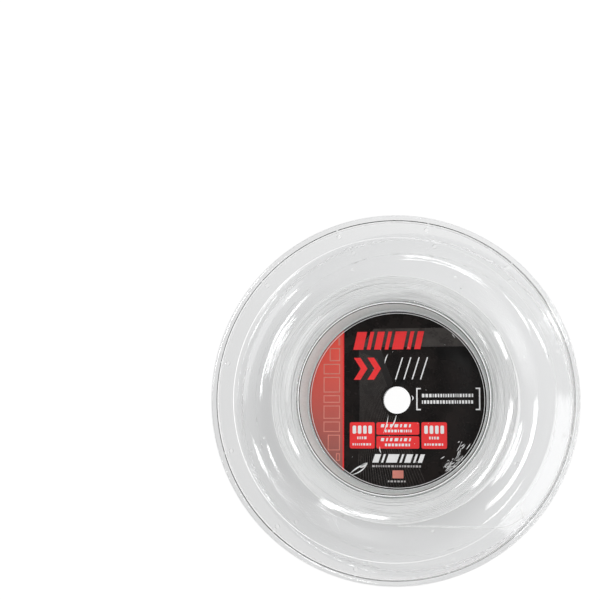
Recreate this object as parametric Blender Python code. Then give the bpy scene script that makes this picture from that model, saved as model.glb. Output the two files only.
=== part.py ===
"""A clear plastic reel of racket string, lying flat on its rear rim with its labelled front face up.

Two moulded halves, each a flange with a cup-shaped hub, are joined floor to floor at the middle
plane. The string is wound on the hub between the flanges. Its loose end leaves the winding as a
tangent, crosses the channel and comes out through one of the small holes round the front rim.
Metres, +Z up. The origin is on the reel's axis, in the plane of the rear rim.
"""

import math

import bmesh
import bpy
from mathutils import Vector

MM = 0.001

# Overall size
REEL_RADIUS = 75.0 * MM
REEL_WIDTH = 44.0 * MM
WALL = 1.5 * MM
GAP = 0.3 * MM  # between pieces that touch
MIDDLE = REEL_WIDTH / 2

# Hub: a cup in each half, with its floor at the middle plane
SPINDLE_HOLE_RADIUS = 5.7 * MM
WELL_FLOOR_RADIUS = 38.1 * MM
WELL_RIM_RADIUS = 39.1 * MM
WELL_CORNER = 0.7 * MM
HUB_ROOT_RADIUS = 40.3 * MM
HUB_MIDDLE_RADIUS = 39.6 * MM
WINDING_WIDTH = 28.0 * MM  # between the flanges, at the hub

# Flange: a dish that flares outwards in one smooth S, a flat ring and a raised lip
DISH_INNER_RADIUS = 40.5 * MM
DISH_OUTER_RADIUS = 66.0 * MM
RING_RADIUS = 71.4 * MM
LIP_RADIUS = 73.0 * MM
LIP_STEP = 1.3 * MM
EDGE_ROUND = 0.5 * MM

# Small holes round the rim, for parking the string's end
RIM_HOLES = 12
RIM_HOLE_RADIUS = 1.0 * MM
RIM_HOLE_CIRCLE = 70.2 * MM
RIM_HOLE_START = math.radians(18.0)
TAIL_HOLE = 10  # the hole that holds the string's end, counted from the first

# Labels, stuck on the two floors
LABEL_RADIUS = 37.3 * MM
LABEL_THICKNESS = 0.25 * MM

# String
STRING_DIAMETER = 0.68 * MM
WINDING_RADIUS = 51.0 * MM

# How finely the round pieces are cut
TURN_STEPS = 48
DISH_STEPS = 10
CORNER_STEPS = 3
HOLE_SIDES = 10

# Heights over the middle plane
FLOOR_BOTTOM = GAP / 2
FLOOR_TOP = FLOOR_BOTTOM + WALL
DISH_BOTTOM = WINDING_WIDTH / 2 + WALL
RING_TOP = MIDDLE - LIP_STEP


def clear_scene():
    for thing in list(bpy.data.objects):
        bpy.data.objects.remove(thing, do_unlink=True)


def material(name, colour, roughness, metallic=0.0, transmission=0.0):
    made = bpy.data.materials.new(name)
    made.use_nodes = True
    shader = made.node_tree.nodes["Principled BSDF"]
    shader.inputs["Base Color"].default_value = (*colour, 1.0)
    shader.inputs["Roughness"].default_value = roughness
    shader.inputs["Metallic"].default_value = metallic
    shader.inputs["Transmission Weight"].default_value = transmission
    return made


def corner(centre, radius, start, end, steps=CORNER_STEPS):
    """Points on an arc in the (radius, height) plane, with angles in degrees."""
    angles = [math.radians(start + (end - start) * i / steps) for i in range(steps + 1)]
    return [
        (centre[0] + radius * math.cos(a), centre[1] + radius * math.sin(a)) for a in angles
    ]


def dish_height(radius):
    """Height of the dish's outer face over the middle plane: an S from the well to the ring."""
    share = (radius - DISH_INNER_RADIUS) / (DISH_OUTER_RADIUS - DISH_INNER_RADIUS)
    share = min(max(share, 0.0), 1.0)
    return DISH_BOTTOM + (RING_TOP - DISH_BOTTOM) * (1 - math.cos(math.pi * share)) / 2


def dish_line(inner, outer, drop, steps=DISH_STEPS):
    """Points along the dish, from one radius to another, that far under its outer face."""
    radii = [inner + (outer - inner) * i / steps for i in range(steps + 1)]
    return [(radius, dish_height(radius) - drop) for radius in radii]


def half_outline():
    """The section of one half, as (radius, height over the middle plane), once round."""
    floor_corner = (WELL_FLOOR_RADIUS - WELL_CORNER, FLOOR_TOP + WELL_CORNER)
    rim_corner = (WELL_RIM_RADIUS + WELL_CORNER, DISH_BOTTOM - WELL_CORNER)
    edge = REEL_RADIUS - EDGE_ROUND
    lip_bottom = MIDDLE - WALL - GAP
    outer_face = [
        (SPINDLE_HOLE_RADIUS, FLOOR_TOP),
        *corner(floor_corner, WELL_CORNER, -90, 0),
        *corner(rim_corner, WELL_CORNER, 180, 90),
        *dish_line(DISH_INNER_RADIUS, DISH_OUTER_RADIUS, 0.0),
        (RING_RADIUS, RING_TOP),
        (RING_RADIUS + GAP, RING_TOP + GAP),
        (LIP_RADIUS - GAP, MIDDLE - GAP),
        (LIP_RADIUS, MIDDLE),
    ]
    edge_face = [
        *corner((edge, MIDDLE - EDGE_ROUND), EDGE_ROUND, 90, 0),
        *corner((edge, lip_bottom + EDGE_ROUND), EDGE_ROUND, 0, -90),
    ]
    inner_face = [
        (LIP_RADIUS + GAP, lip_bottom),
        (RING_RADIUS + GAP, RING_TOP - WALL),
        *reversed(dish_line(HUB_ROOT_RADIUS + WELL_CORNER, DISH_OUTER_RADIUS, WALL)),
        (HUB_ROOT_RADIUS, DISH_BOTTOM - WALL - WELL_CORNER),
        (HUB_MIDDLE_RADIUS, FLOOR_BOTTOM),
        (SPINDLE_HOLE_RADIUS, FLOOR_BOTTOM),
    ]
    return outer_face + edge_face + inner_face


def turned(name, outline, made_of, side=1):
    """A ring turned about the reel's axis. side is 1 in front of the middle plane, -1 behind it."""
    mesh = bpy.data.meshes.new(name)
    shape = bmesh.new()
    rings = []
    for i in range(TURN_STEPS):
        angle = 2 * math.pi * i / TURN_STEPS
        rings.append(
            [
                shape.verts.new((r * math.cos(angle), r * math.sin(angle), MIDDLE + side * h))
                for r, h in outline
            ]
        )
    for i, ring in enumerate(rings):
        following = rings[(i + 1) % TURN_STEPS]
        for j in range(len(outline)):
            k = (j + 1) % len(outline)
            shape.faces.new((ring[j], ring[k], following[k], following[j]))
    bmesh.ops.recalc_face_normals(shape, faces=shape.faces)
    shape.to_mesh(mesh)
    shape.free()
    piece = bpy.data.objects.new(name, mesh)
    bpy.context.scene.collection.objects.link(piece)
    piece.data.materials.append(made_of)
    mesh.shade_smooth()
    mesh.set_sharp_from_angle(angle=math.radians(35))
    return piece


def rim_hole_place(number):
    angle = RIM_HOLE_START + 2 * math.pi * number / RIM_HOLES
    return Vector((RIM_HOLE_CIRCLE * math.cos(angle), RIM_HOLE_CIRCLE * math.sin(angle), 0.0))


def drill_rim_holes(half, side):
    """Cuts the small holes through the flat ring of one half."""
    mesh = bpy.data.meshes.new(half.name + "_drill")
    shape = bmesh.new()
    for number in range(RIM_HOLES):
        made = bmesh.ops.create_cone(
            shape,
            cap_ends=True,
            segments=HOLE_SIDES,
            radius1=RIM_HOLE_RADIUS,
            radius2=RIM_HOLE_RADIUS,
            depth=4 * WALL,
        )
        centre = rim_hole_place(number)
        centre.z = MIDDLE + side * (RING_TOP - WALL / 2)
        bmesh.ops.translate(shape, verts=made["verts"], vec=centre)
    shape.to_mesh(mesh)
    shape.free()
    drill = bpy.data.objects.new(mesh.name, mesh)
    bpy.context.scene.collection.objects.link(drill)
    drill.hide_render = True
    drill.display_type = "WIRE"
    cut = half.modifiers.new("rim holes", "BOOLEAN")
    cut.operation = "DIFFERENCE"
    cut.solver = "EXACT"
    cut.object = drill


def build_half(name, side, made_of):
    half = turned(name, half_outline(), made_of, side)
    drill_rim_holes(half, side)
    return half


def build_label(name, side, made_of):
    """A round paper label with the spindle hole, lying on the floor of one well."""
    bottom = FLOOR_TOP + GAP
    top = bottom + LABEL_THICKNESS
    inner, outer = SPINDLE_HOLE_RADIUS, LABEL_RADIUS
    outline = [(inner, bottom), (outer, bottom), (outer, top), (inner, top)]
    return turned(name, outline, made_of, side)


def build_winding(made_of):
    """The wound string as one ring: it fills the channel from the hub to its outer layer."""
    root = (HUB_ROOT_RADIUS + GAP, DISH_BOTTOM - WALL - WELL_CORNER - 2 * GAP)
    side_line = [root]
    side_line += dish_line(HUB_ROOT_RADIUS + WELL_CORNER, WINDING_RADIUS, WALL + GAP, steps=4)
    outline = side_line + [(radius, -height) for radius, height in reversed(side_line)]
    return turned("string_winding", outline, made_of)


def tail_route():
    """The loose end's own points, from the winding's outer layer to its cut end."""
    hole = rim_hole_place(TAIL_HOLE)
    along = WINDING_RADIUS + STRING_DIAMETER / 2 + GAP
    ring_bottom = MIDDLE + RING_TOP - WALL
    ring_top = MIDDLE + RING_TOP
    return [
        Vector((1.5 * MM, -along, 34.5 * MM)),
        Vector((9.0 * MM, -along, 35.4 * MM)),
        Vector((17.0 * MM, -along, 36.4 * MM)),
        Vector((25.0 * MM, -along, 37.4 * MM)),
        Vector((33.0 * MM, -along, 38.3 * MM)),
        Vector((40.0 * MM, -along + 0.1 * MM, 39.1 * MM)),
        Vector((46.0 * MM, -along + 1.0 * MM, 39.8 * MM)),
        hole + Vector((-1.7 * MM, -1.3 * MM, ring_bottom - 1.1 * MM)),
        hole + Vector((-0.5 * MM, -0.4 * MM, ring_bottom - 0.4 * MM)),
        hole + Vector((-0.1 * MM, -0.1 * MM, ring_bottom + 0.6 * MM)),
        hole + Vector((-0.1 * MM, 0.2 * MM, ring_top - 0.1 * MM)),
        hole + Vector((-0.2 * MM, 0.9 * MM, ring_top + 0.7 * MM)),
        hole + Vector((-0.6 * MM, 2.0 * MM, ring_top + 0.9 * MM)),
        hole + Vector((-1.1 * MM, 3.4 * MM, ring_top + 0.9 * MM)),
    ]


def smooth_curve(points, spacing):
    """Points about that far apart on a Catmull-Rom curve through the given ones."""
    line = [points[0] * 2 - points[1], *points, points[-1] * 2 - points[-2]]
    found = [points[0].copy()]
    for a, b, c, d in zip(line, line[1:], line[2:], line[3:]):
        steps = max(1, round((c - b).length / spacing))
        for i in range(1, steps + 1):
            t = i / steps
            found.append(
                0.5
                * (
                    2 * b
                    + (c - a) * t
                    + (2 * a - 5 * b + 4 * c - d) * t * t
                    + (3 * b - a - 3 * c + d) * t * t * t
                )
            )
    return found


def build_tail(made_of):
    """The string's loose end, a plain tube along its real route."""
    points = smooth_curve(tail_route(), 2.5 * STRING_DIAMETER)
    curve = bpy.data.curves.new("string_tail", "CURVE")
    curve.dimensions = "3D"
    curve.bevel_depth = STRING_DIAMETER / 2
    curve.bevel_resolution = 2
    curve.use_fill_caps = True
    spline = curve.splines.new("POLY")
    spline.points.add(len(points) - 1)
    for place, point in zip(spline.points, points):
        place.co = (*point, 1.0)
    curve.materials.append(made_of)
    piece = bpy.data.objects.new("string_tail", curve)
    bpy.context.scene.collection.objects.link(piece)
    return piece


def build():
    clear_scene()
    clear_plastic = material("clear_plastic", (0.93, 0.935, 0.94), 0.06, transmission=0.9)
    printed_label = material("printed_label", (0.03, 0.026, 0.025), 0.35)
    white_string = material("white_string", (0.88, 0.88, 0.87), 0.4)
    build_half("front_flange", 1, clear_plastic)
    build_half("rear_flange", -1, clear_plastic)
    build_label("front_label", 1, printed_label)
    build_label("rear_label", -1, printed_label)
    build_winding(white_string)
    build_tail(white_string)


build()
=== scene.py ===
import math
import random

import bmesh
import bpy
from mathutils import Matrix, Vector


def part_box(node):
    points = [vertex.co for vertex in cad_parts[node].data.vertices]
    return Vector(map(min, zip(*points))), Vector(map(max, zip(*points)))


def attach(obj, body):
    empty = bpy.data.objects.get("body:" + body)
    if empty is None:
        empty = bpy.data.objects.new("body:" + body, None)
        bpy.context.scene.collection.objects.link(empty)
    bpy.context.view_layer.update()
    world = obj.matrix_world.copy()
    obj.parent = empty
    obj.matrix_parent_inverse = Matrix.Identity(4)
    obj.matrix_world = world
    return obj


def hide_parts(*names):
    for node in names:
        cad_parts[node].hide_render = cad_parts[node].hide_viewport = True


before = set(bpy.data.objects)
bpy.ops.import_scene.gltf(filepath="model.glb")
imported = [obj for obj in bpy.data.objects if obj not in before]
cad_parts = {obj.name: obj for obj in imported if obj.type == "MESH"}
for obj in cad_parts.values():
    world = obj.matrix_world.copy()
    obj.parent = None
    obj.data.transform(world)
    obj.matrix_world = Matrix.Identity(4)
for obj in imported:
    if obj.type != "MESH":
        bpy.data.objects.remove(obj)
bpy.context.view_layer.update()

MM = 0.001


def span(node):
    low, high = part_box(node)
    return Vector(low), Vector(high)


# Sizes read from the frame
FLANGE_LOW, FLANGE_HIGH = span("front_flange")
LABEL_LOW, LABEL_HIGH = span("front_label")
WINDING_LOW, WINDING_HIGH = span("string_winding")
REEL_RADIUS = (FLANGE_HIGH.x - FLANGE_LOW.x) / 2
MIDDLE = FLANGE_HIGH.z / 2
LABEL_RADIUS = (LABEL_HIGH.x - LABEL_LOW.x) / 2
WINDING_RADIUS = (WINDING_HIGH.x - WINDING_LOW.x) / 2

# The moulding's main sizes, as in the CAD solids
WALL = 1.5 * MM
SPINDLE_HOLE_RADIUS = 5.7 * MM
WELL_FLOOR_RADIUS = 38.1 * MM
WELL_RIM_RADIUS = 39.1 * MM
HUB_ROOT_RADIUS = 40.3 * MM
HUB_MIDDLE_RADIUS = 39.6 * MM
WINDING_WIDTH = 28.0 * MM
DISH_INNER_RADIUS = 40.5 * MM
DISH_OUTER_RADIUS = 66.0 * MM
LIP_STEP = 1.3 * MM
FLOOR_BOTTOM = 0.15 * MM
FLOOR_TOP = FLOOR_BOTTOM + WALL
DISH_BOTTOM = WINDING_WIDTH / 2 + WALL
RING_TOP = MIDDLE - LIP_STEP

# Fine detail of the moulding that the CAD solids leave out or have coarser
JOINT = 0.04 * MM  # half the gap between the two floors
LIP_FOOT = 71.9 * MM
LIP_WIDTH = 0.6 * MM
SUPPORT = 0.15 * MM  # keeps the smoothed shading of a bend off the flat beside it
LEDGE = 0.155 * MM  # the fine step that shows as a thin ring round the dish
LEDGE_WIDTH = 0.17 * MM
MATT_TOP = DISH_BOTTOM - 2.5 * MM  # the drafted wall is matt up to here
# The well's rim has a painted dark line: a painted shade for the dark line its tight curve shows
RIM_PAINTED_DARK_OUTER = 39.42 * MM  # the dark line round the well's rim ends here
RIM_PAINTED_DARK_DEPTH = 0.45 * MM  # and reaches this far down the wall
RIM_WHITE_OUTER = 39.8 * MM
RIM_BEAD = 0.17 * MM  # height of the sharp bead that shows as the white line round the well

RIM_HOLES = 12
RIM_HOLE_RADIUS = 0.95 * MM  # the middles of the sides of the CAD's ten-sided holes
RIM_HOLE_CIRCLE = 70.2 * MM
RIM_HOLE_START = math.radians(18.0)
TAIL_HOLE = 10

PIPS = 8
PIP_RADIUS = 0.55 * MM
PIP_CIRCLE = 55.6 * MM
PIP_START = math.radians(17.0)

STRING_DIAMETER = 0.68 * MM

TURN_STEPS = 256
SHARP_ANGLE = math.radians(40)  # edges sharper than this aren't shaded smooth


# ---------------------------------------------------------------- node helpers


def feed(tree, node, inputs):
    """Gives each named or numbered input its value, or links the socket it takes it from."""
    for key, value in inputs.items():
        if isinstance(value, bpy.types.NodeSocket):
            tree.links.new(value, node.inputs[key])
        else:
            node.inputs[key].default_value = value


def add_node(tree, kind, inputs=None, **settings):
    node = tree.nodes.new(kind)
    for key, value in settings.items():
        setattr(node, key, value)
    feed(tree, node, inputs or {})
    return node


def node_material(name):
    made = bpy.data.materials.new(name)
    made.use_nodes = True
    tree = made.node_tree
    return made, tree, tree.nodes["Principled BSDF"]


def object_coordinates(tree, scale=(1, 1, 1)):
    place = add_node(tree, "ShaderNodeTexCoord").outputs["Object"]
    mapping = add_node(tree, "ShaderNodeMapping", {"Vector": place, "Scale": scale})
    return mapping.outputs["Vector"]


def noise(tree, vector, scale, detail=3.0, roughness=0.5):
    inputs = {"Vector": vector, "Scale": scale, "Detail": detail, "Roughness": roughness}
    return add_node(tree, "ShaderNodeTexNoise", inputs).outputs["Fac"]


def vector_math(tree, operation, *vectors):
    inputs = dict(enumerate(vectors))
    return add_node(tree, "ShaderNodeVectorMath", inputs, operation=operation).outputs


def polar_coordinates(tree, unit):
    """Where a point is round the reel's axis: a vector of its radius in that unit and its
    angle's cosine and sine, then its radius in metres, the cosine and the sine alone."""
    place = add_node(tree, "ShaderNodeTexCoord").outputs["Object"]
    flat = vector_math(tree, "MULTIPLY", place, (1.0, 1.0, 0.0))["Vector"]
    radius = vector_math(tree, "LENGTH", flat)["Value"]
    way = vector_math(tree, "NORMALIZE", flat)["Vector"]
    split = add_node(tree, "ShaderNodeSeparateXYZ", {"Vector": way})
    cosine, sine = split.outputs["X"], split.outputs["Y"]
    units = combined(tree, "MULTIPLY", radius, 1.0 / unit)
    joined = add_node(tree, "ShaderNodeCombineXYZ", {"X": units, "Y": cosine, "Z": sine})
    return joined.outputs["Vector"], radius, cosine, sine


def mapped(tree, value, low, high, to_low, to_high, way="LINEAR"):
    inputs = {"Value": value, "From Min": low, "From Max": high}
    inputs |= {"To Min": to_low, "To Max": to_high}
    node = add_node(tree, "ShaderNodeMapRange", inputs, interpolation_type=way)
    return node.outputs["Result"]


def combined(tree, operation, first, second):
    inputs = {0: first, 1: second}
    return add_node(tree, "ShaderNodeMath", inputs, operation=operation).outputs["Value"]


def weighted_sum(tree, first, first_weight, second, second_weight):
    first = combined(tree, "MULTIPLY", first, first_weight)
    second = combined(tree, "MULTIPLY", second, second_weight)
    return combined(tree, "ADD", first, second)


def ramped(tree, value, low, high):
    """A colour that runs between two (value, colour) stops."""
    ramp = add_node(tree, "ShaderNodeValToRGB", {"Fac": value})
    for element, (position, colour) in zip(ramp.color_ramp.elements, (low, high)):
        element.position = position
        element.color = (*colour, 1)
    return ramp.outputs["Color"]


def bump(tree, height, strength, distance, normal=None):
    inputs = {"Height": height, "Strength": strength, "Distance": distance}
    if normal is not None:
        inputs["Normal"] = normal
    return add_node(tree, "ShaderNodeBump", inputs).outputs["Normal"]


def lamps_pass(tree, shader, tint):
    """Lets the light of lamps, and light on its way from a matt surface, straight through."""
    path = add_node(tree, "ShaderNodeLightPath")
    clear = add_node(tree, "ShaderNodeBsdfTransparent", {"Color": tint}).outputs["BSDF"]
    found = shader.outputs["BSDF"]
    for ray in ("Is Diffuse Ray", "Is Shadow Ray"):
        inputs = {"Fac": path.outputs[ray], 1: found, 2: clear}
        found = add_node(tree, "ShaderNodeMixShader", inputs).outputs["Shader"]
    feed(tree, tree.nodes["Material Output"], {"Surface": found})


# ---------------------------------------------------------------- materials

PLASTIC_IOR = 1.5

# Where handling has dulled the flange: angle, half angle, inner and outer radius
SCUFFED_PATCHES = (
    (250, 34, 54.2 * MM, 59.0 * MM),
    (30, 14, 54.0 * MM, 58.0 * MM),
    (72, 30, 44.5 * MM, 48.0 * MM),
)
SCUFF_ROUGHNESS = 0.17  # added to the clear plastic's own in the middle of a patch
SCUFF_SIDE_FADE = 0.12  # in the cosine of the angle
SCUFF_INNER_FADE = 1.5 * MM
SCUFF_OUTER_FADE = 3.0 * MM

TOOL_MARK_PITCH = 1.5 * MM
TOOL_MARK_HEIGHT = 0.000016
FLOW_HEIGHT = 0.0006


def scuffed_patch(tree, polar, angle, half_angle, inner, outer):
    """1 on a patch of the flange, between two radii and round that angle, with soft edges."""
    _, radius, cosine, sine = polar
    angle = math.radians(angle)
    facing = weighted_sum(tree, cosine, math.cos(angle), sine, math.sin(angle))
    edge = math.cos(math.radians(half_angle))
    sector = mapped(tree, facing, edge - SCUFF_SIDE_FADE, edge, 0.0, 1.0)
    from_inside = mapped(tree, radius, inner - SCUFF_INNER_FADE, inner, 0.0, 1.0)
    from_outside = mapped(tree, radius, outer, outer + SCUFF_OUTER_FADE, 1.0, 0.0)
    band = combined(tree, "MULTIPLY", from_inside, from_outside)
    return combined(tree, "MULTIPLY", sector, band)


def clear_plastic():
    """Clear styrene: glossy, with faint scuffs, moulding flow and tool marks round the axis."""
    made, tree, shader = node_material("clear_plastic")
    vector = object_coordinates(tree)
    scuffs = noise(tree, vector, 420.0, 6.0, 0.65)
    rough = mapped(tree, scuffs, 0.35, 0.75, 0.015, 0.045)
    polar = polar_coordinates(tree, TOOL_MARK_PITCH)
    for patch in SCUFFED_PATCHES:
        here = scuffed_patch(tree, polar, *patch)
        rough = combined(tree, "ADD", rough, combined(tree, "MULTIPLY", here, SCUFF_ROUGHNESS))
    flow = noise(tree, vector, 38.0, 1.5, 0.4)
    uneven = bump(tree, flow, 0.1, FLOW_HEIGHT)
    tool_marks = noise(tree, polar[0], 1.0, 2.0, 0.6)
    look = {
        "Base Color": (0.975, 0.978, 0.98, 1.0),
        "Transmission Weight": 1.0,
        "IOR": PLASTIC_IOR,
        "Roughness": rough,
        "Normal": bump(tree, tool_marks, 1.0, TOOL_MARK_HEIGHT, uneven),
    }
    feed(tree, shader, look)
    lamps_pass(tree, shader, (0.955, 0.958, 0.96, 1.0))
    return made


def frosted_plastic_painted_shade():
    """The same plastic where the mould left it matt: on the well's drafted wall. Its grey is
    painted shade, for the string in shade that shows through the wall.
    """
    made, tree, shader = node_material("frosted_plastic_painted_shade")
    grain = noise(tree, object_coordinates(tree, (1, 1, 0.25)), 1500.0, 4.0, 0.6)
    # Painted shade: the wall's grey stands in for the shaded string behind it
    dark, light = (0.635, 0.675, 0.66), (0.745, 0.785, 0.77)
    look = {
        "Base Color": ramped(tree, grain, (0.3, dark), (0.7, light)),
        "Transmission Weight": 0.1,
        "IOR": PLASTIC_IOR,
        "Specular IOR Level": 0.1,
        "Roughness": mapped(tree, grain, 0.3, 0.7, 0.45, 0.6),
        "Normal": bump(tree, grain, 0.15, 0.0001),
    }
    feed(tree, shader, look)
    lamps_pass(tree, shader, (0.93, 0.93, 0.93, 1.0))
    return made


def rim_material(name, tone, transmission, metallic=0.0):
    """A thin line on the moulding. Its tone is painted light or shade: a dark or a pale line for
    the one that a tight curve shows, or, with metallic set, a mirror that reflects the lamps.
    """
    made, tree, shader = node_material(name)
    grain = noise(tree, object_coordinates(tree), 300.0, 2.0)
    look = {
        "Base Color": ramped(tree, grain, (0.0, (0.8 * tone,) * 3), (1.0, (tone,) * 3)),
        "Transmission Weight": transmission,
        "Metallic": metallic,
        "Roughness": 0.2,
    }
    feed(tree, shader, look)
    return made


def string_material():
    """White coated string, in fine irregular streaks from turn to turn round the reel, partly
    painted shade, and painted shade near the hub.
    """
    made, tree, shader = node_material("coated_string")
    turns, radius, cosine, sine = polar_coordinates(tree, STRING_DIAMETER)
    # Streaks of random tone from turn to turn; the darker ones are partly painted shade between
    # the turns
    streaks = noise(tree, turns, 1.6, 4.0, 0.75)
    # Painted shade: near the hub, at the upper right, the turns are painted greyer, as if in shade
    near_hub = mapped(tree, radius, 41.0 * MM, 47.0 * MM, 1.0, 0.0)
    upper_right = weighted_sum(tree, cosine, 0.62, sine, 0.78)
    painted_hub_shade = combined(tree, "MULTIPLY", near_hub, mapped(tree, upper_right, -0.1, 0.9, 0.0, 1.0))
    tone = combined(tree, "SUBTRACT", streaks, combined(tree, "MULTIPLY", painted_hub_shade, 0.12))
    coat = noise(tree, object_coordinates(tree), 5200.0, 2.0)
    look = {
        "Base Color": ramped(tree, tone, (0.24, (0.55, 0.55, 0.545)), (0.47, (0.97, 0.97, 0.965))),
        "Roughness": 0.38,
        "Normal": bump(tree, coat, 0.35, 0.00005),
    }
    feed(tree, shader, look)
    return made


def film_material(name, colour, roughness, variation, specular, grain=260.0):
    """Printed film, with the faint mottle and the slight waves of a stuck label."""
    made, tree, shader = node_material(name)
    vector = object_coordinates(tree)
    mottle = noise(tree, vector, grain, 5.0, 0.6)
    dark = tuple(c * (1 - variation) for c in colour)
    light = tuple(min(1.0, c * (1 + variation)) for c in colour)
    waves = noise(tree, vector, 90.0, 2.0)
    look = {
        "Base Color": ramped(tree, mottle, (0.3, dark), (0.7, light)),
        "Roughness": mapped(tree, mottle, 0.3, 0.8, roughness - 0.05, roughness + 0.12),
        "Specular IOR Level": specular,
        "Normal": bump(tree, waves, 0.2, 0.0004),
    }
    feed(tree, shader, look)
    return made


def graded_print(name, low, high, specular):
    """Print that changes colour up the label, between two (height, colour) stops."""
    made, tree, shader = node_material(name)
    split = add_node(tree, "ShaderNodeSeparateXYZ", {"Vector": object_coordinates(tree)})
    along = mapped(tree, split.outputs["Y"], low[0], high[0], 0.0, 1.0)
    look = {
        "Base Color": ramped(tree, along, (0.0, low[1]), (1.0, high[1])),
        "Roughness": 0.3,
        "Specular IOR Level": specular,
    }
    feed(tree, shader, look)
    return made


def label_prints():
    """The labels' film and printing inks, by the name of their use."""
    bright_red, brown_red = (0.98, 0.085, 0.055), (0.29, 0.118, 0.10)
    grey, near_black = (0.024, 0.022, 0.022), (0.0095, 0.008, 0.0078)
    return {
        "film": film_material("label_black", (0.0078, 0.0054, 0.0048), 0.24, 0.95, 0.17, 75.0),
        "red": film_material("label_red", (0.92, 0.042, 0.045), 0.3, 0.05, 0.2),
        "white": film_material("label_white", (0.90, 0.90, 0.90), 0.3, 0.04, 0.2),
        "grey": film_material("label_grey", (0.052, 0.046, 0.043), 0.28, 0.3, 0.2),
        "pale": film_material("label_pale", (0.72, 0.26, 0.21), 0.3, 0.1, 0.2),
        "faded": film_material("label_faded_white", (0.52, 0.50, 0.50), 0.3, 0.1, 0.2),
        # Painted highlights on the creased film, and dust
        "glint": film_material("film_glint_and_dust", (0.95, 0.95, 0.95), 0.2, 0.02, 0.5),
        "side": graded_print(
            "label_red_gradient", (-30 * MM, brown_red), (30 * MM, bright_red), 0.5
        ),
        "panel": graded_print("label_fading_grey", (4 * MM, near_black), (22 * MM, grey), 0.22),
    }


# ---------------------------------------------------------------- mesh helpers


def link(mesh, name, made_of):
    """A piece of the reel: it rides on the reel's body and takes its finish from a slot."""
    piece = bpy.data.objects.new(name, mesh)
    bpy.context.scene.collection.objects.link(piece)
    mesh.materials.append(made_of)
    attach(piece, "root")
    return piece


def rounded(corners, steps=5):
    """A closed line through corners given as (x, y, rounding), each turned as an arc."""
    points = []
    for i, (x, y, radius) in enumerate(corners):
        here = Vector((x, y))
        if radius == 0:
            points.append((x, y))
            continue
        before = (Vector(corners[i - 1][:2]) - here).normalized()
        after = (Vector(corners[(i + 1) % len(corners)][:2]) - here).normalized()
        turn = math.pi - before.angle(after)
        reach = radius * math.tan(turn / 2)
        start, end = here + before * reach, here + after * reach
        centre = here + (before + after).normalized() * (radius / math.cos(turn / 2))
        a, b = start - centre, end - centre
        sweep = a.angle(b)
        for j in range(steps + 1):
            t = j / steps
            way = (a * math.sin((1 - t) * sweep) + b * math.sin(t * sweep)) / math.sin(sweep)
            points.append(tuple(centre + way))
    return points


def turned_mesh(name, outline, side=1, steps=TURN_STEPS):
    """A closed ring turned about the reel's axis from (radius, height over the middle) points."""
    count = len(outline)
    area = 0.0
    for (x0, y0), (x1, y1) in zip(outline, outline[1:] + outline[:1]):
        area += x0 * y1 - x1 * y0
    places = []
    for i in range(steps):
        angle = 2 * math.pi * i / steps
        c, s = math.cos(angle), math.sin(angle)
        places += [(r * c, r * s, MIDDLE + side * h) for r, h in outline]
    flip = (area * side) > 0
    faces = []
    for i in range(steps):
        k = (i + 1) % steps
        for j in range(count):
            m = (j + 1) % count
            quad = (i * count + j, i * count + m, k * count + m, k * count + j)
            faces.append(quad if flip else quad[::-1])
    mesh = bpy.data.meshes.new(name)
    mesh.from_pydata(places, [], faces)
    mesh.shade_smooth()
    return mesh


def dish_height(radius):
    """Height of the dish's outer face over the middle plane."""
    share = (radius - DISH_INNER_RADIUS) / (DISH_OUTER_RADIUS - DISH_INNER_RADIUS)
    share = min(max(share, 0.0), 1.0)
    return DISH_BOTTOM + (RING_TOP - DISH_BOTTOM) * (1 - math.cos(math.pi * share)) / 2


def flange_line(inner, outer, drop, steps):
    """Corners along the dish, that far under its outer face."""
    radii = [inner + (outer - inner) * i / steps for i in range(steps + 1)]
    return [(radius, dish_height(radius) - drop, 0) for radius in radii]


def lip_rise(inner, drop, steps=6):
    """The step from the flat ring up to the lip, as a steep S."""
    line = []
    for i in range(steps + 1):
        share = (1 - math.cos(math.pi * i / steps)) / 2
        line.append((inner + LIP_WIDTH * i / steps, RING_TOP - drop + LIP_STEP * share, 0))
    return line


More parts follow.
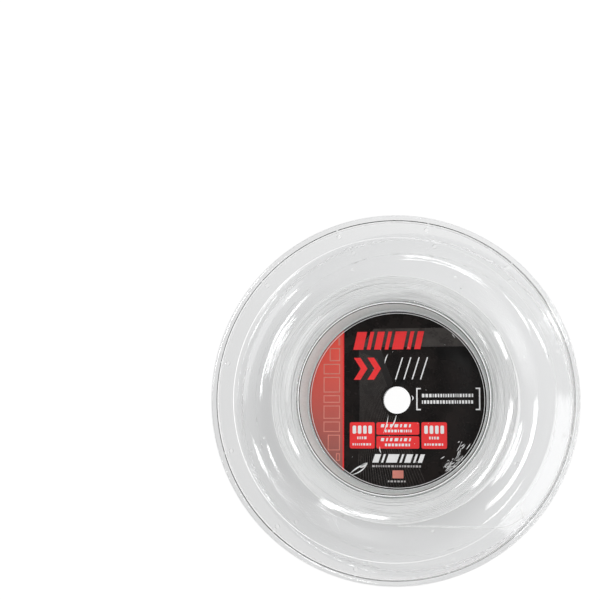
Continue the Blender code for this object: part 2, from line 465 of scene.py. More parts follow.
def half_outline():
    """One half's section: spindle hole, floor, drafted wall, S-shaped dish, flat ring, lip."""
    corners = [
        (SPINDLE_HOLE_RADIUS, JOINT, 0.15 * MM),
        (SPINDLE_HOLE_RADIUS, FLOOR_TOP, 0.25 * MM),
        (WELL_FLOOR_RADIUS, FLOOR_TOP, 0.5 * MM),
        (WELL_RIM_RADIUS, DISH_BOTTOM, 0.33 * MM),
        (RIM_PAINTED_DARK_OUTER, DISH_BOTTOM, 0),
        ((RIM_PAINTED_DARK_OUTER + RIM_WHITE_OUTER) / 2, DISH_BOTTOM + RIM_BEAD, 0),
        (RIM_WHITE_OUTER, DISH_BOTTOM, 0),
        *flange_line(DISH_INNER_RADIUS, DISH_OUTER_RADIUS - LEDGE_WIDTH, LEDGE, 40),
        (DISH_OUTER_RADIUS, RING_TOP, 0),
        (DISH_OUTER_RADIUS + SUPPORT, RING_TOP, 0),
        (LIP_FOOT - SUPPORT, RING_TOP, 0),
        *lip_rise(LIP_FOOT, 0.0),
        (LIP_FOOT + LIP_WIDTH + SUPPORT, MIDDLE, 0),
        (REEL_RADIUS, MIDDLE, 0.45 * MM),
        (REEL_RADIUS, MIDDLE - WALL, 0.45 * MM),
        (LIP_FOOT + 2 * LIP_WIDTH + SUPPORT, MIDDLE - WALL, 0),
        *reversed(lip_rise(LIP_FOOT + LIP_WIDTH, WALL)),
        (LIP_FOOT + LIP_WIDTH - SUPPORT, RING_TOP - WALL, 0),
        (DISH_OUTER_RADIUS + SUPPORT, RING_TOP - WALL, 0),
        *reversed(flange_line(HUB_ROOT_RADIUS + 1.0 * MM, DISH_OUTER_RADIUS, WALL, 38)),
        (HUB_ROOT_RADIUS, DISH_BOTTOM - WALL, 0.7 * MM),
        (HUB_MIDDLE_RADIUS, JOINT, 0.15 * MM),
    ]
    return rounded(corners)


def apply_modifiers(piece, helpers):
    """Fixes the piece's mesh as its modifiers make it, and removes the helper objects."""
    graph = bpy.context.evaluated_depsgraph_get()
    mesh = bpy.data.meshes.new_from_object(piece.evaluated_get(graph))
    piece.modifiers.clear()
    piece.data = mesh
    for helper in helpers:
        bpy.data.objects.remove(helper, do_unlink=True)


def spots(name, count, start, circle, height, build):
    """One helper mesh with a small solid, made by build, at each of count places on a circle."""
    shape = bmesh.new()
    for number in range(count):
        angle = start + 2 * math.pi * number / count
        made = build(shape)
        place = Vector((circle * math.cos(angle), circle * math.sin(angle), height))
        bmesh.ops.translate(shape, verts=made["verts"], vec=place)
    mesh = bpy.data.meshes.new(name)
    shape.to_mesh(mesh)
    shape.free()
    helper = bpy.data.objects.new(name, mesh)
    bpy.context.scene.collection.objects.link(helper)
    return helper


CLEAR, MATT, PAINTED_DARK_LINE, WHITE_LINE, LIP_PAINTED_LINE = range(5)  # places in the half's finishes


def half_finish(x, y, over):
    """Which finish a face has, from where its middle is: over is its height over the middle."""
    radius = math.hypot(x, y)
    # The lip's step has a painted pale line, standing in for the line its refraction shows in the
    # light
    if over > RING_TOP and LIP_FOOT < radius < LIP_FOOT + LIP_WIDTH:
        return LIP_PAINTED_LINE
    if over > RING_TOP - WALL / 2 and DISH_OUTER_RADIUS - LEDGE_WIDTH < radius < DISH_OUTER_RADIUS:
        return WHITE_LINE
    # A painted dark line round the well's rim, painted shade for the line its tight curve shows,
    # with the mirror bead beside it
    if over > DISH_BOTTOM - RIM_PAINTED_DARK_DEPTH and WELL_FLOOR_RADIUS < radius < RIM_WHITE_OUTER:
        return PAINTED_DARK_LINE if radius < RIM_PAINTED_DARK_OUTER else WHITE_LINE
    margin = WALL / 10
    on_wall = WELL_FLOOR_RADIUS - margin < radius < WELL_RIM_RADIUS + margin
    if on_wall and FLOOR_TOP < over < MATT_TOP:
        return MATT
    return CLEAR


def build_half(name, node, side, finishes):
    """One moulded half, drilled round its ring and with the small pips on its dish."""
    mesh = turned_mesh(name, half_outline(), side)
    piece = link(mesh, name, finishes[CLEAR])
    drill = spots(
        name + "_drill",
        RIM_HOLES,
        RIM_HOLE_START,
        RIM_HOLE_CIRCLE,
        MIDDLE + side * (RING_TOP - WALL / 2),
        lambda shape: bmesh.ops.create_cone(
            shape,
            cap_ends=True,
            segments=32,
            radius1=RIM_HOLE_RADIUS,
            radius2=RIM_HOLE_RADIUS,
            depth=4 * WALL,
        ),
    )
    pips = spots(
        name + "_pips",
        PIPS,
        PIP_START,
        PIP_CIRCLE,
        MIDDLE + side * dish_height(PIP_CIRCLE),
        lambda shape: bmesh.ops.create_uvsphere(
            shape, u_segments=20, v_segments=12, radius=PIP_RADIUS
        ),
    )
    for helper, operation in ((drill, "DIFFERENCE"), (pips, "UNION")):
        change = piece.modifiers.new(operation.lower(), "BOOLEAN")
        change.operation = operation
        change.solver = "EXACT"
        change.object = helper
    apply_modifiers(piece, (drill, pips))
    piece.data.materials.clear()
    for finish in finishes:
        piece.data.materials.append(finish)
    for face in piece.data.polygons:
        x, y, z = face.center
        face.material_index = half_finish(x, y, abs(z - MIDDLE))
    piece.data.shade_smooth()
    piece.data.set_sharp_from_angle(angle=SHARP_ANGLE)
    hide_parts(node)


# ---------------------------------------------------------------- string


def tube_mesh(name, paths, radius, sides=8, closed=False):
    """Tubes along lists of points. The section's frame follows the reel's axis."""
    places, faces = [], []
    for path in paths:
        base = len(places)
        count = len(path)
        for i, point in enumerate(path):
            if closed:
                ahead, behind = path[(i + 1) % count], path[i - 1]
            else:
                ahead, behind = path[min(i + 1, count - 1)], path[max(i - 1, 0)]
            along = (ahead - behind).normalized()
            out = Vector((point.x, point.y, 0)).normalized()
            out = (out - along * out.dot(along)).normalized()
            up = along.cross(out)
            for j in range(sides):
                angle = 2 * math.pi * j / sides
                places.append(point + (out * math.cos(angle) + up * math.sin(angle)) * radius)
        rings = count if closed else count - 1
        for i in range(rings):
            k = (i + 1) % count
            for j in range(sides):
                m = (j + 1) % sides
                faces.append(
                    (
                        base + i * sides + j,
                        base + i * sides + m,
                        base + k * sides + m,
                        base + k * sides + j,
                    )
                )
        if not closed:
            faces.append(tuple(base + j for j in reversed(range(sides))))
            faces.append(tuple(base + (count - 1) * sides + j for j in range(sides)))
    mesh = bpy.data.meshes.new(name)
    mesh.from_pydata(places, [], faces)
    mesh.shade_smooth()
    return mesh


def on_reel(radius, angle, height):
    """A point by its radius, its angle and its height over the middle plane."""
    return Vector((radius * math.cos(angle), radius * math.sin(angle), MIDDLE + height))


def layer_radii():
    """Centre-line radii of the winding's layers, from the hub outwards."""
    first = HUB_ROOT_RADIUS + 0.75 * STRING_DIAMETER
    last = WINDING_RADIUS - STRING_DIAMETER / 2
    count = round((last - first) / (0.9 * STRING_DIAMETER)) + 1
    return [first + (last - first) * i / (count - 1) for i in range(count)]


def layer_edge(radius):
    """How far from the middle plane a layer's last turn lies, against the flange."""
    return dish_height(radius) - WALL - 0.75 * STRING_DIAMETER


def build_winding(made_of):
    """The wound string: a core ring, the turns of the outer layer, and each layer's end turns."""
    rng = random.Random(41)
    steps = 144
    radii = layer_radii()
    paths = []
    for side in (1, -1):
        for radius in radii[:-1]:
            sway = rng.uniform(0.02, 0.06) * MM
            phase = rng.uniform(0, 2 * math.pi)
            step_in = rng.uniform(0.0, 0.45) * MM
            ring = []
            for i in range(steps):
                angle = 2 * math.pi * i / steps
                here = radius + sway * math.sin(2 * angle + phase)
                height = layer_edge(here) - step_in * (0.6 + 0.4 * math.sin(angle + phase))
                ring.append(on_reel(here, angle, side * height))
            paths.append(ring)
    rings = tube_mesh("layer_ends", paths, STRING_DIAMETER / 2, closed=True)

    outer = radii[-1]
    width = 2 * layer_edge(outer)
    turns = int(width / (1.02 * STRING_DIAMETER))
    pitch = width / turns
    helix = []
    for i in range(turns * steps + 1):
        angle = 2 * math.pi * i / steps
        wobble = 0.06 * MM * math.sin(angle * 0.37) * math.sin(angle * 0.11 + 1.0)
        height = -width / 2 + pitch * i / steps + wobble
        height = min(max(height, -width / 2), width / 2)
        helix.append(on_reel(outer, angle, height))
    layer = tube_mesh("outer_layer", [helix], STRING_DIAMETER / 2)

    inner = HUB_ROOT_RADIUS + 0.2 * MM
    tuck = 0.8 * STRING_DIAMETER  # the core stays this far inside the turns
    radii = [inner + (outer - inner) * i / 8 for i in range(9)]
    line = [(radius, layer_edge(radius) - tuck) for radius in radii]
    core = turned_mesh("core", line + [(r, -h) for r, h in reversed(line)], steps=steps)

    shape = bmesh.new()
    for mesh in (core, rings, layer):
        shape.from_mesh(mesh)
        bpy.data.meshes.remove(mesh)
    mesh = bpy.data.meshes.new("string_turns")
    shape.to_mesh(mesh)
    shape.free()
    mesh.shade_smooth()
    piece = link(mesh, "string_turns", made_of)
    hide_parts("string_winding")


def rim_hole_place(number):
    """The centre of one rim hole, at height 0."""
    angle = RIM_HOLE_START + 2 * math.pi * number / RIM_HOLES
    return Vector((RIM_HOLE_CIRCLE * math.cos(angle), RIM_HOLE_CIRCLE * math.sin(angle), 0.0))


def tail_route():
    """The loose end's own points, as in the CAD solid."""
    hole = rim_hole_place(TAIL_HOLE)
    along = 51.64 * MM
    ring_bottom = MIDDLE + RING_TOP - WALL
    ring_top = MIDDLE + RING_TOP
    return [
        Vector((1.5 * MM, -along, 34.5 * MM)),
        Vector((9.0 * MM, -along, 35.4 * MM)),
        Vector((17.0 * MM, -along, 36.4 * MM)),
        Vector((25.0 * MM, -along, 37.4 * MM)),
        Vector((33.0 * MM, -along, 38.3 * MM)),
        Vector((40.0 * MM, -along + 0.1 * MM, 39.1 * MM)),
        Vector((46.0 * MM, -along + 1.0 * MM, 39.8 * MM)),
        hole + Vector((-1.7 * MM, -1.3 * MM, ring_bottom - 1.1 * MM)),
        hole + Vector((-0.5 * MM, -0.4 * MM, ring_bottom - 0.4 * MM)),
        hole + Vector((-0.1 * MM, -0.1 * MM, ring_bottom + 0.6 * MM)),
        hole + Vector((-0.1 * MM, 0.2 * MM, ring_top - 0.1 * MM)),
        hole + Vector((-0.2 * MM, 0.9 * MM, ring_top + 0.7 * MM)),
        hole + Vector((-0.6 * MM, 2.0 * MM, ring_top + 0.9 * MM)),
        hole + Vector((-1.1 * MM, 3.4 * MM, ring_top + 0.9 * MM)),
    ]


def smooth_curve(points, spacing):
    """Points about that far apart on a Catmull-Rom curve through the given ones."""
    line = [points[0] * 2 - points[1], *points, points[-1] * 2 - points[-2]]
    found = [points[0].copy()]
    for a, b, c, d in zip(line, line[1:], line[2:], line[3:]):
        steps = max(1, round((c - b).length / spacing))
        for i in range(1, steps + 1):
            t = i / steps
            found.append(
                0.5
                * (
                    2 * b
                    + (c - a) * t
                    + (2 * a - 5 * b + 4 * c - d) * t * t
                    + (3 * b - a - 3 * c + d) * t * t * t
                )
            )
    return found


def build_tail(made_of):
    """The string's loose end, a cord that is parked in a rim hole."""
    points = smooth_curve(tail_route(), STRING_DIAMETER)
    curve = bpy.data.curves.new("string_end", "CURVE")
    curve.dimensions = "3D"
    curve.bevel_depth = STRING_DIAMETER / 2
    curve.bevel_resolution = 4
    curve.use_fill_caps = True
    spline = curve.splines.new("POLY")
    spline.points.add(len(points) - 1)
    for place, point in zip(spline.points, points):
        place.co = (*point, 1.0)
    piece = link(curve, "string_end", made_of)
    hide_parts("string_tail")


# ---------------------------------------------------------------- labels

LABEL_LIFT = 0.03 * MM
LABEL_THICKNESS = 0.25 * MM
LABEL_BOTTOM = FLOOR_TOP + LABEL_LIFT
LABEL_TOP = LABEL_BOTTOM + LABEL_THICKNESS
LABEL_HOLE_RADIUS = SPINDLE_HOLE_RADIUS + 0.05 * MM
LABEL_ROUNDING = 0.08 * MM
PRINT_GAP = 0.012 * MM  # under the lowest layer of print
PRINT_THICK = 0.03 * MM
PRINT_LAYER = 0.04 * MM
PRINT_EDGE = LABEL_RADIUS - 0.15 * MM
EDGE_LINE_INSET = 0.4 * MM
EDGE_LINE_WIDTH = 0.25 * MM


def label_base(name, side, made_of, node):
    """The label's own film, a thin disc with the spindle hole."""
    corners = [
        (LABEL_HOLE_RADIUS, LABEL_BOTTOM, 0),
        (LABEL_RADIUS, LABEL_BOTTOM, 0),
        (LABEL_RADIUS, LABEL_TOP, LABEL_ROUNDING),
        (LABEL_HOLE_RADIUS, LABEL_TOP, LABEL_ROUNDING),
    ]
    mesh = turned_mesh(name, rounded(corners, 3), side)
    mesh.set_sharp_from_angle(angle=SHARP_ANGLE)
    piece = link(mesh, name, made_of)
    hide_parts(node)


def printed(name, shapes, made_of, layer=0, side=1):
    """Flat printed shapes on a label. Each is a list of (x, y) in millimetres."""
    mesh = bmesh.new()
    low = MIDDLE + side * (LABEL_TOP + PRINT_GAP + layer * PRINT_LAYER)
    for shape in shapes:
        verts = [mesh.verts.new((x * side * MM, y * MM, low)) for x, y in shape]
        face = mesh.faces.new(verts)
        raised = bmesh.ops.extrude_face_region(mesh, geom=[face])
        top = [item for item in raised["geom"] if isinstance(item, bmesh.types.BMVert)]
        bmesh.ops.translate(mesh, verts=top, vec=(0, 0, side * PRINT_THICK))
    bmesh.ops.recalc_face_normals(mesh, faces=mesh.faces)
    data = bpy.data.meshes.new(name)
    mesh.to_mesh(data)
    mesh.free()
    piece = link(data, name, made_of)
    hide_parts("front_label" if side > 0 else "rear_label")


def label_edge_line(made_of):
    """The thin light line round the label's print, a little inside its edge."""
    low = LABEL_TOP + 5 * PRINT_LAYER
    high = low + PRINT_THICK
    outer = PRINT_EDGE - EDGE_LINE_INSET
    inner = outer - EDGE_LINE_WIDTH
    section = [(inner, low), (outer, low), (outer, high), (inner, high)]
    mesh = turned_mesh("label_edge_line", section)
    mesh.set_sharp_from_angle(angle=SHARP_ANGLE)
    piece = link(mesh, "label_edge_line", made_of)
    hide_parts("front_label")


def bar(x0, y0, x1, y1):
    return [(x0, y0), (x1, y0), (x1, y1), (x0, y1)]


def soft_box(x0, y0, x1, y1, radius):
    return rounded([(x0, y0, radius), (x1, y0, radius), (x1, y1, radius), (x0, y1, radius)], 4)


def leaning(x, y0, y1, width, lean=0.22):
    """A bar that leans to the right. x is its lower left corner."""
    shift = (y1 - y0) * lean
    return [(x, y0), (x + width, y0), (x + width + shift, y1), (x + shift, y1)]


def leaning_row(x, y0, y1, widths, gap, lean=0.22):
    row = []
    for width in widths:
        row.append(leaning(x, y0, y1, width, lean))
        x += width + gap
    return row


def dashes(rng, x0, x1, y0, y1, gap=0.45):
    """A row of small bars of uneven widths that fills x0 to x1."""
    row = []
    x = x0
    while x < x1 - 0.3:
        width = min(rng.uniform(0.35, 1.1), x1 - x)
        row.append(bar(x, y0, x + width, y1))
        x += width + gap
    return row


def brush(points, width, taper=0.0):
    """A stroke along points, as one outline. With taper 1 it ends in two tips."""
    left, right = [], []
    last = len(points) - 1
    for i, (x, y) in enumerate(points):
        x0, y0 = points[max(i - 1, 0)]
        x1, y1 = points[min(i + 1, last)]
        way = Vector((x1 - x0, y1 - y0)).normalized()
        share = 1 - taper * abs(2 * i / last - 1) ** 2
        half = max(width * share, 0.04) / 2
        left.append((x - way.y * half, y + way.x * half))
        right.append((x + way.y * half, y - way.x * half))
    return left + right[::-1]


def bend(start, middle, end, steps=10):
    """Points on a quadratic curve."""
    points = []
    for i in range(steps + 1):
        t = i / steps
        a, b, c = (1 - t) ** 2, 2 * t * (1 - t), t * t
        points.append(tuple(a * p + b * q + c * r for p, q, r in zip(start, middle, end)))
    return points


def circle_edge(y):
    """How far the print reaches sideways at that height, or up at that x, in millimetres."""
    return math.sqrt((PRINT_EDGE / MM) ** 2 - y * y)


SIDE_LINE = -22.4  # the red side segment lies left of this x


def side_segment():
    """The part of the label's disc left of SIDE_LINE."""
    edge = PRINT_EDGE / MM
    half = math.acos(SIDE_LINE / edge)
    steps = 48
    angles = [half + (2 * math.pi - 2 * half) * i / steps for i in range(steps + 1)]
    return [(edge * math.cos(a), edge * math.sin(a)) for a in angles]


def frame_bars(x0, y0, x1, y1, line):
    """The four sides of an open rectangle."""
    return [
        bar(x0, y0, x1, y0 + line),
        bar(x0, y1 - line, x1, y1),
        bar(x0, y0 + line, x0 + line, y1 - line),
        bar(x1 - line, y0 + line, x1, y1 - line),
    ]


def side_marks():
    """A column of pale open rectangles along the red segment."""
    shapes = []
    right, line, gap = -24.1, 0.42, 1.15
    top = 26.5
    for height in (3.2, 5.6, 4.4, 6.6, 3.2, 5.6, 4.4, 6.6, 3.2):
        bottom = top - height
        left = max(-31.2, 1.2 - circle_edge(max(abs(top), abs(bottom))))
        shapes += frame_bars(left, bottom, right, top, line)
        top = bottom - gap
    return shapes


def banner():
    """The grey band behind the headline, cut slantwise at its left and round at its right."""
    low, high = 22.3, 30.2
    steps = 8
    edge = []
    for i in range(steps + 1):
        y = low + (high - low) * i / steps
        edge.append((circle_edge(y), y))
    return [(-15.7, low), *edge, (-9.6, high)]


def panel():
    """The faint area under the banner's left end, clear of the spindle hole."""
    reach = 6.3
    angles = [math.radians(162 - 6 * i) for i in range(10)]
    round_hole = [(reach * math.cos(a), reach * math.sin(a)) for a in angles]
    return [(-16.1, 22.2), (-16.1, 2.0), *round_hole, (-1.6, 7.0), (-6.9, 22.2)]


def fan_lines():
    """Fine lines that sweep down from the upper left and spread towards the bottom."""
    shapes = []
    count = 25
    clear_radius = 6.6  # the lines stop short of the spindle hole
    for i in range(count):
        share = i / (count - 1)
        start = (-15.8 + 7.5 * share, 20.5 - 3.0 * share)
        end_x = -16.5 + 28.5 * share
        end = (end_x, -circle_edge(end_x) + 0.3)
        middle = (-15.0 + 5.5 * share + 9.0 * share * share, -6.0)
        runs = [[]]
        for point in bend(start, middle, end, 60):
            if math.hypot(*point) > clear_radius:
                runs[-1].append(point)
            elif runs[-1]:
                runs.append([])
        for run in runs:
            if len(run) > 2:
                shapes.append(brush(run, 0.2))
    return shapes


def brackets():
    """A pair of square brackets, open towards each other."""
    shapes = []
    top, bottom, line, foot = 5.0, -4.3, 0.55, 1.9
    for x, way in ((8.2, 1), (34.8, -1)):
        upright = sorted((x, x + way * line))
        feet = sorted((x + way * line, x + way * foot))
        shapes.append(bar(upright[0], bottom, upright[1], top))
        shapes.append(bar(feet[0], bottom, feet[1], bottom + line))
        shapes.append(bar(feet[0], top - line, feet[1], top))
    return shapes


def chevron(x, y0, y1, width, depth):
    """An arrowhead that points right. x is its left side."""
    middle = (y0 + y1) / 2
    return [
        (x, y0),
        (x + width, y0),
        (x + width + depth, middle),
        (x + width, y1),
        (x, y1),
        (x + depth, middle),
    ]


def crease_glints_and_dust():
    """Painted highlights: bright slivers where the clear film over the label is creased and lifted
    and catches the light, and a few specks of dust.
    """
    strokes = [
        (bend((-3.6, -6.4), (-3.9, -10), (-5.7, -14.0)), 0.35),
        (bend((-0.2, -6.3), (-0.8, -9.5), (-2.8, -12.3)), 0.45),
        (bend((-7.2, -19.4), (-7.4, -21), (-6.6, -22.2)), 0.4),
        (bend((-19.9, -30.9), (-17.0, -28.0), (-12.4, -26.3)), 0.6),
        (bend((-19.4, -31.3), (-14.6, -30.4), (-12.4, -26.5)), 0.5),
        (bend((-15.6, -28.3), (-14.0, -27.3), (-12.3, -26.2)), 1.3),
        (bend((-5.0, 15.4), (-4.8, 17.6), (-3.6, 19.4)), 0.45),
        (bend((6.3, 1.8), (7.4, 0.9), (6.4, -0.2)), 0.5),
        (bend((23.3, 27.6), (23.9, 26.9), (24.6, 25.8)), 0.25),
    ]
    rng = random.Random(9)
    # Painted glints where the crinkled film at the lower right edge catches the light
    for _ in range(46):
        angle = math.radians(rng.uniform(-54, -33))
        radius = 36.6 - abs(rng.gauss(0, 2.4))
        x, y = radius * math.cos(angle), radius * math.sin(angle)
        lean = math.radians(rng.gauss(55, 22))
        reach = rng.uniform(0.4, 2.0)
        dx, dy = reach * math.cos(lean), reach * math.sin(lean)
        if math.hypot(x + dx, y + dy) < 36.9 and math.hypot(x - dx, y - dy) < 36.9:
            path = bend((x - dx, y - dy), (x + 0.2, y), (x + dx, y + dy), 4)
            strokes.append((path, rng.uniform(0.15, 0.42)))
    # Dust
    for _ in range(22):
        x, y = rng.uniform(-20, 33), rng.uniform(-30, 30)
        if 7.5 < math.hypot(x, y) < 35:
            lean = rng.uniform(0.4, 1.6)
            reach = rng.uniform(0.12, 0.35)
            dx, dy = reach * math.cos(lean), reach * math.sin(lean)
            strokes.append((bend((x - dx, y - dy), (x, y), (x + dx, y + dy), 2), 0.12))
    return [brush(points, width, 1.0) for points, width in strokes]


def info_box(rng, x0, y0, x1, y1):
    """White marks in a red box: four bold bars over two rows of small ones."""
    count, gap = 4, 0.75
    left, right = x0 + 1.2, x1 - 1.2
    width = (right - left - gap * (count - 1)) / count
    shapes = []
    for i in range(count):
        start = left + i * (width + gap)
        shapes.append(soft_box(start, y1 - 4.8, start + width, y1 - 1.4, 0.5))
    shapes += dashes(rng, x0 + 3.2, x1 - 3.0, y0 + 3.9, y0 + 5.0)
    shapes += dashes(rng, x0 + 1.2, x1 - 1.0, y0 + 1.3, y0 + 2.2)
    return shapes


def build_front_label(prints):
    """The front label, drawn in millimetres from its centre, x to the right and y up."""
    rng = random.Random(23)
    label_base("label_front", 1, prints["film"], "front_label")
    printed("label_side", [side_segment()], prints["side"])
    side_height = circle_edge(SIDE_LINE) - 0.3
    line = bar(SIDE_LINE - 0.6, -side_height, SIDE_LINE, side_height)
    printed("label_side_line", [line], prints["red"], 1)
    printed("label_side_marks", side_marks(), prints["pale"], 1)
    printed("label_banner", [banner()], prints["grey"])
    printed("label_panel", [panel()], prints["panel"])
    printed("label_fan_lines", fan_lines(), prints["grey"], 1)
    boxes = [
        (-19.9, -20.3, -9.3, -9.3),
        (-8.6, -14.5, 9.4, -9.3),
        (-8.6, -20.3, 9.4, -15.1),
        (10.3, -20.3, 20.9, -9.3),
    ]
    headline = leaning_row(-18.4, 21.3, 28.9, (4.2, 1.6, 3.0, 1.6, 4.8, 1.6, 2.6), 1.5)
    arrows = [chevron(x, 8.6, 17.9, 2.8, 3.0) for x in (-18.2, -12.4)]
    red_boxes = [soft_box(*box, 0.7) for box in boxes]
    printed("label_red_marks", headline + arrows + red_boxes, prints["red"], 2)
    marks = leaning_row(-0.7, 8.6, 17.9, (0.5,) * 4, 3.0, 0.32)
    marks += brackets()
    marks += dashes(rng, 10.6, 32.2, 1.1, 2.5)
    marks += dashes(rng, 10.6, 32.2, -1.6, -0.2)
    marks += info_box(rng, *boxes[0]) + info_box(rng, *boxes[3])
    widths = (1.3, 0.7, 1.0, 1.5, 0.7, 1.2, 0.7)
    for x0, y0, x1, y1 in boxes[1:3]:
        marks += leaning_row(x0 + 1.8, y0 + 3.1, y1 - 0.8, widths, 0.9)
        marks += dashes(rng, x0 + 3.6, x1 - 3.2, y0 + 1.0, y0 + 2.1)
    widths = (2.6, 0.9, 4.6, 0.9, 2.6, 0.9, 1.8)
    marks += leaning_row(-10.4, -26.1, -22.6, widths, 1.1, 0.35)
    printed("label_white_marks", marks, prints["white"], 3)
    small = dashes(rng, -10.4, 10.6, -28.0, -27.2)
    small += dashes(rng, -3.8, 4.2, -34.2, -33.5)
    printed("label_small_marks", small, prints["faded"], 2)
    printed("label_small_box", [soft_box(-1.9, -32.6, 2.7, -29.3, 0.3)], prints["pale"], 2)
    printed("label_crease_glints_and_dust", crease_glints_and_dust(), prints["glint"], 4)
    label_edge_line(prints["white"])


def build_rear_label(prints):
    """The rear label isn't known: a plain dark disc with a red band and a block of bars."""
    rng = random.Random(31)
    label_base("label_rear", -1, prints["film"], "rear_label")
    low, high = 9.0, 19.0
    steps = 8
    heights = [low + (high - low) * i / steps for i in range(steps + 1)]
    band = [(circle_edge(y), y) for y in heights]
    band += [(-circle_edge(y), y) for y in reversed(heights)]
    printed("label_rear_band", [band], prints["red"], 0, -1)
    rows = []
    for i in range(5):
        y = -11.5 - 3.4 * i
        rows += dashes(rng, -18 + 0.6 * i, 18 - 0.6 * i, y - 1.5, y, 0.5)
    rows += leaning_row(-12.0, 11.6, 16.4, (4.0, 2.0, 4.0, 2.0, 4.0), 1.4)
    printed("label_rear_marks", rows, prints["white"], 1, -1)


# ---------------------------------------------------------------- stage, lights and camera


FLOOR_SIZE = 4.0
FLOOR_GAP = 0.2 * MM
FLOOR_GLOW = 0.97
SHADE_DEPTH = 0.215  # how much less the floor glows under the reel, on its axis
SHADE_SLOPE = (-0.8, -0.43)  # how the depth changes along x and y, for each metre
PACK_SHADE_DEPTH = 0.14  # as much less again under the wound string

# Discs on the floor: the centre, the reach and how much of it is the soft edge
REEL_SHADE = ((-5.4 * MM, 2.2 * MM), 82.3 * MM, 1.6 * MM)
PACK_SHADE = ((-9.0 * MM, -5.0 * MM), 66.0 * MM, 16.0 * MM)
HOLE_LIGHT = ((0.0, 0.0), 11.0 * MM, 2.0 * MM)  # no shade shows through the spindle hole


def disc_mask(tree, place, centre, reach, softness):
    """1 inside a disc on the floor and 0 outside it."""
    away = vector_math(tree, "DISTANCE", place, (*centre, 0.0))["Value"]
    return mapped(tree, away, reach - softness, reach, 1.0, 0.0, "SMOOTHSTEP")


def build_floor():
    """A white light table, with the reel's soft contact shade on it."""
    made, tree, shader = node_material("pale_floor")
    place = add_node(tree, "ShaderNodeTexCoord").outputs["Object"]
    reel = disc_mask(tree, place, *REEL_SHADE)
    pack = disc_mask(tree, place, *PACK_SHADE)
    hole = disc_mask(tree, place, *HOLE_LIGHT)
    x, y, _ = add_node(tree, "ShaderNodeSeparateXYZ", {"Vector": place}).outputs
    slope = weighted_sum(tree, x, SHADE_SLOPE[0], y, SHADE_SLOPE[1])
    depth = combined(tree, "ADD", slope, SHADE_DEPTH)
    shade = combined(tree, "MULTIPLY", reel, depth)
    shade = combined(tree, "ADD", shade, combined(tree, "MULTIPLY", pack, PACK_SHADE_DEPTH))
    outside_hole = combined(tree, "SUBTRACT", 1.0, hole)
    shade = combined(tree, "MULTIPLY", shade, outside_hole)
    look = {
        "Base Color": (0.10, 0.10, 0.10, 1),
        "Roughness": 0.9,
        "Specular IOR Level": 0.1,
        "Emission Color": (1, 1, 1, 1),
        "Emission Strength": combined(tree, "SUBTRACT", FLOOR_GLOW, shade),
    }
    feed(tree, shader, look)
    bpy.ops.mesh.primitive_plane_add(size=FLOOR_SIZE, location=(0, 0, -FLOOR_GAP))
    floor = bpy.context.object
    floor.name = "floor"
    floor.data.materials.append(made)


LAMP_POWER = 4  # the watts that give a square metre of lamp a radiance of one

# Each lamp is three nested ones, for a soft edge: shares of its width and of its radiance
SOFT_EDGE = ((1.0, 0.2), (0.75, 0.3), (0.45, 0.5))
LAMP_STEP = 2.0 * MM  # each narrower lamp of a strip stands this far behind the wider one

# Strips that show as long glints on the dished flange: the azimuth and half its span, the
# angles of the strip's two edges from the reel's axis, all in degrees, and the radiance
STRIPS = {
    "upper_left": (156, 19, (25.2, 28.8), 9),
    "upper_left_low": (155, 12, (33.7, 34.8), 8),
    "upper_left_high": (146, 6, (14.0, 15.4), 7),
    "lower_right": (335, 26, (18.8, 19.5), 9),
    "lower_left": (224, 19, (16.4, 18.0), 9),
    "top": (88, 18, (23.6, 25.6), 9),
    "upper_right": (55, 10, (8.5, 12.0), 10),
    "left": (185, 5, (11.6, 13.2), 10),
    "left_low": (194, 6, (27.4, 30.4), 9),
    "below": (296, 9, (7.5, 9.0), 7),
}


def strip_light(name, azimuth, half_span, tilts, radiance):
    """A strip lamp 1 m from the reel, so that its width in metres is its span in radians."""
    low, high = (math.radians(tilt) for tilt in tilts)
    a, t = math.radians(azimuth), (low + high) / 2
    way = Vector((math.cos(a) * math.sin(t), math.sin(a) * math.sin(t), math.cos(t)))
    sideways = Vector((-math.sin(a), math.cos(a), 0))
    turn = Matrix((sideways, way.cross(sideways), way)).transposed().to_quaternion()
    across = 2 * math.sin(t) * math.sin(math.radians(half_span))
    for number, (width, share) in enumerate(SOFT_EDGE):
        data = bpy.data.lights.new(f"{name}_{number}", "AREA")
        data.shape = "RECTANGLE"
        data.size = across * (0.7 + 0.3 * width)
        data.size_y = (high - low) * width
        data.energy = LAMP_POWER * radiance * share * data.size * data.size_y
        lamp = bpy.data.objects.new(data.name, data)
        lamp.location = Vector((0, 0, MIDDLE)) + way * (1 + LAMP_STEP * number)
        lamp.rotation_mode = "QUATERNION"
        lamp.rotation_quaternion = turn
        bpy.context.scene.collection.objects.link(lamp)


def overhead_light(place, radius, radiance):
    """A round lamp that faces down, for the broad white reflection at the lower right."""
    for number, (width, share) in enumerate(SOFT_EDGE):
        data = bpy.data.lights.new(f"overhead_{number}", "AREA")
        data.shape = "DISK"
        data.size = 2 * radius * width
        data.energy = LAMP_POWER * radiance * share * math.pi * (radius * width) ** 2
        lamp = bpy.data.objects.new(data.name, data)
        lamp.location = place
        bpy.context.scene.collection.objects.link(lamp)


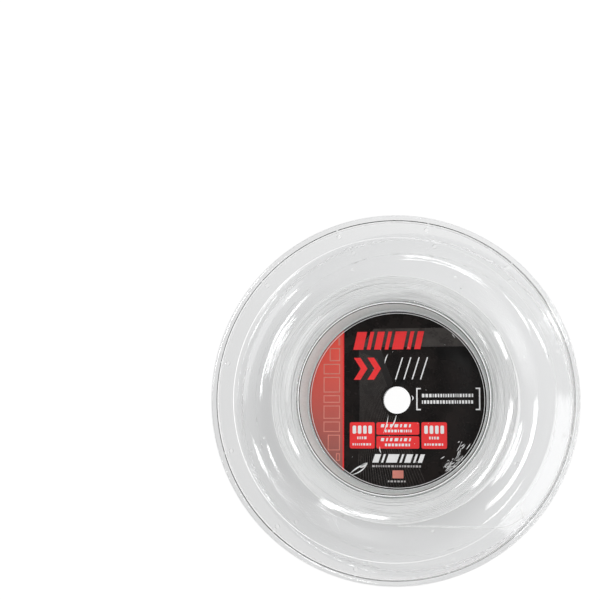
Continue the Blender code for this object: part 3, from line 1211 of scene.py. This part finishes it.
def build_tent():
    """A white light tent, darker where it opens at the top, and brighter on the right."""
    world = bpy.data.worlds.new("light_tent")
    world.use_nodes = True
    tree = world.node_tree
    way = add_node(tree, "ShaderNodeTexCoord").outputs["Generated"]
    x, y, z = add_node(tree, "ShaderNodeSeparateXYZ", {"Vector": way}).outputs
    opening_level = 0.22
    wall = mapped(tree, z, 0.66, 0.80, 1.0, opening_level)
    level = combined(tree, "ADD", weighted_sum(tree, x, 0.30, y, 0.10), 1.22)
    strength = combined(tree, "MULTIPLY", wall, level)
    feed(tree, tree.nodes["Background"], {"Color": (1, 1, 1, 1), "Strength": strength})
    bpy.context.scene.world = world


def build_lights():
    build_tent()
    for name, strip in STRIPS.items():
        strip_light("strip_" + name, *strip)
    overhead_light(place=(0.05, -0.03, 1.0), radius=0.085, radiance=5.5)


# Where the camera stands, and where the reel shows in the frame
CAMERA_DISTANCE = 0.52
CAMERA_TILT = Vector((0.122, -0.050))  # from the reel's axis, to the right and downwards
REEL_IN_FRAME = Vector((0.1516, -0.1627))  # from the frame's middle, in widths of it
REEL_SHARE = 0.6195  # the reel's diameter, in widths of the frame
SENSOR = 36.0

BOUNCES = 24  # a ray crosses many faces of clear plastic, and may turn back inside them


def build_camera():
    data = bpy.data.cameras.new("camera")
    data.sensor_width = SENSOR
    place = bpy.data.objects.new("camera", data)
    bpy.context.scene.collection.objects.link(place)
    target = Vector((0, 0, 2 * MIDDLE))
    way = Vector((CAMERA_TILT.x, CAMERA_TILT.y, 1.0)).normalized()
    place.location = target + way * CAMERA_DISTANCE
    # The focal length in widths of the frame. The camera turns away from the reel to show it
    # off the middle, and that alone shows it larger, so the lens is shorter by as much
    widths = REEL_SHARE * CAMERA_DISTANCE / (2 * REEL_RADIUS)
    widths *= math.cos(math.atan(REEL_IN_FRAME.length / widths)) ** 1.5
    data.lens = widths * SENSOR
    right = Vector((0, 1, 0)).cross(way).normalized()
    straight = Matrix((right, way.cross(right), way)).transposed().to_quaternion()
    seen = Vector((REEL_IN_FRAME.x, REEL_IN_FRAME.y, -widths))
    place.rotation_mode = "QUATERNION"
    place.rotation_quaternion = straight @ seen.rotation_difference(Vector((0, 0, -1)))
    data.clip_start, data.clip_end = 0.01, 20
    bpy.context.scene.camera = place


def main():
    scene = bpy.context.scene
    scene.view_settings.view_transform = "Standard"
    scene.cycles.max_bounces = BOUNCES
    scene.cycles.transmission_bounces = BOUNCES
    scene.cycles.transparent_max_bounces = BOUNCES
    build_camera()
    string = string_material()
    finishes = (
        clear_plastic(),
        frosted_plastic_painted_shade(),
        rim_material("rim_painted_dark_line", 0.015, 0.05),
        rim_material("rim_white", 0.98, 0.0, 1.0),
        rim_material("lip_painted_line", 0.92, 0.45),
    )
    build_half("front_half", "front_flange", 1, finishes)
    build_half("rear_half", "rear_flange", -1, finishes)
    build_winding(string)
    build_tail(string)
    prints = label_prints()
    build_front_label(prints)
    build_rear_label(prints)
    build_floor()
    build_lights()


main()
